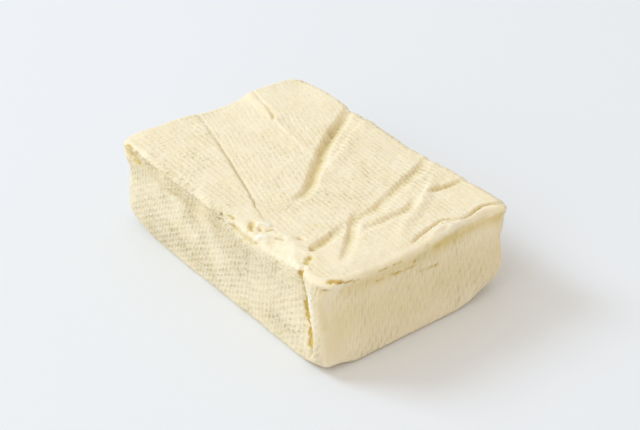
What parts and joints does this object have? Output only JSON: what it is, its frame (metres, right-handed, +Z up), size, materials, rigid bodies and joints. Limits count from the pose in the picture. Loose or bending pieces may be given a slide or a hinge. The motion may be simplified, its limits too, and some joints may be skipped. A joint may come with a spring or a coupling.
{
  "type": "tofu block",
  "caption": "Rectangular slab of pressed bean curd with cloth weave, creases and a split corner, lying on its flat base.",
  "frame": {"origin": "middle of the flat underside, under the middle of the block's box", "axes": "+X along the block's length, towards the short wall beside the split corner; +Y across its width, away from the split wall; +Z up through its thickness"},
  "size_m": [0.1035, 0.07, 0.0312],
  "materials": {
    "curd": "soft matt pressed bean curd, cream white, slightly translucent, yellower in splits and pits"
  },
  "bodies": {
    "root": {"tofu_block": "curd"}
  },
  "joints": []
}
